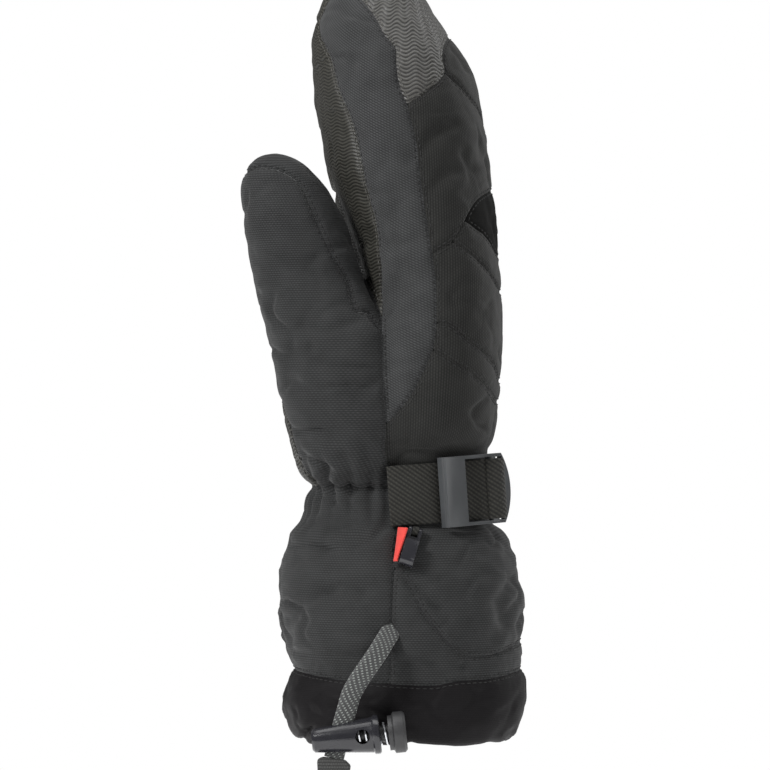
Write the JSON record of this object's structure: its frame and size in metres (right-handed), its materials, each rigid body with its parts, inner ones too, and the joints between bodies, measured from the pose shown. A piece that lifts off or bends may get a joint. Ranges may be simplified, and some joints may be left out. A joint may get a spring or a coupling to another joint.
{
  "type": "ski mitten",
  "caption": "Padded right-hand ski mitten with a gauntlet cuff, ladder-buckle wrist strap and a locking draw cord at the hem.",
  "frame": {"origin": "centre of the cuff's opening, in the plane of the hem", "axes": "+Z from the hem to the fingertips, +X towards the back of the hand, -X towards the palm, -Y towards the thumb's side"},
  "size_m": [0.1156, 0.1258, 0.3528],
  "materials": {
    "shell_nylon": "matt charcoal ripstop nylon with a fine rib",
    "back_nylon": "matt charcoal nylon, slightly warm",
    "palm_pu": "ribbed dark olive synthetic leather",
    "fingertip_pu": "synthetic leather embossed with waves",
    "inlay_fabric": "smooth near-black knit",
    "hem_satin": "black satin tape",
    "elastic": "flat black elastic",
    "membrane": "thin grey laminated film",
    "padding": "white polyester wadding",
    "lining_fleece": "brushed dark fleece",
    "webbing": "black twill webbing",
    "tag_red": "plain red woven tape",
    "cord_braid": "black braid with light flecks",
    "tab_fabric": "dark folded grosgrain",
    "buckle_plastic": "satin moulded acetal",
    "lock_plastic": "glossy black moulded nylon",
    "hook_plastic": "glossy black moulded nylon",
    "spring_steel": "bright spring wire"
  },
  "bodies": {
    "mitten": {"thumb_side_panel": "shell_nylon", "pinky_side_panel": "shell_nylon", "palm_panel": "palm_pu", "palm_heel_panel": "palm_pu", "fingertip_wrap": "fingertip_pu", "upper_back_panel": "back_nylon", "finger_back_panel": "back_nylon", "triangle_inlay": "inlay_fabric", "knuckle_panel": "back_nylon", "mid_back_panel": "back_nylon", "back_strip": "back_nylon", "wrist_back_panel": "back_nylon", "thumb_panel": "shell_nylon", "thumb_gusset": "back_nylon", "gauntlet_palm_panel": "shell_nylon", "gauntlet_back_panel": "shell_nylon", "lower_cuff_panel": "shell_nylon", "hem_band": "hem_satin", "wrist_elastic": "elastic", "waterproof_insert": "membrane", "hand_padding": "padding", "thumb_padding": "padding", "gauntlet_padding": "padding", "hand_lining": "lining_fleece", "thumb_lining": "lining_fleece", "gauntlet_lining": "lining_fleece", "channel_cord": "elastic", "wrist_strap": "webbing", "seam_tag": "tag_red", "hook_loop": "webbing", "draw_cord": "cord_braid", "pull_tab": "tab_fabric"},
    "lock": {"lock_barrel": "lock_plastic", "lock_spring": "spring_steel"},
    "plunger": {"lock_plunger": "lock_plastic"},
    "buckle": {"strap_buckle": "buckle_plastic"},
    "hook": {"pair_hook": "hook_plastic"}
  },
  "joints": [
    {"name": "lock_slide", "type": "slide", "parent": "mitten", "child": "lock", "axis": [0.2588, 0, 0.9659], "range_m": [0, 0.01]},
    {"name": "plunger_press", "type": "slide", "parent": "lock", "child": "plunger", "axis": [-0.9945, 0, -0.1045], "range_m": [0, 0.003], "stiffness_N_per_m": 600, "springref_m": -0.006, "deforming": ["lock_spring"]},
    {"name": "buckle_tilt", "type": "hinge", "parent": "mitten", "child": "buckle", "pos_m": [0.0356, -0.02819, 0.10249], "axis": [-0.0698, 0, 0.9976], "range_deg": [0, 20]},
    {"name": "hook_swing", "type": "hinge", "parent": "mitten", "child": "hook", "pos_m": [0.004, -0.047, 0.0854], "axis": [-0.9563, 0, 0.2924], "range_deg": [0, 70]}
  ]
}
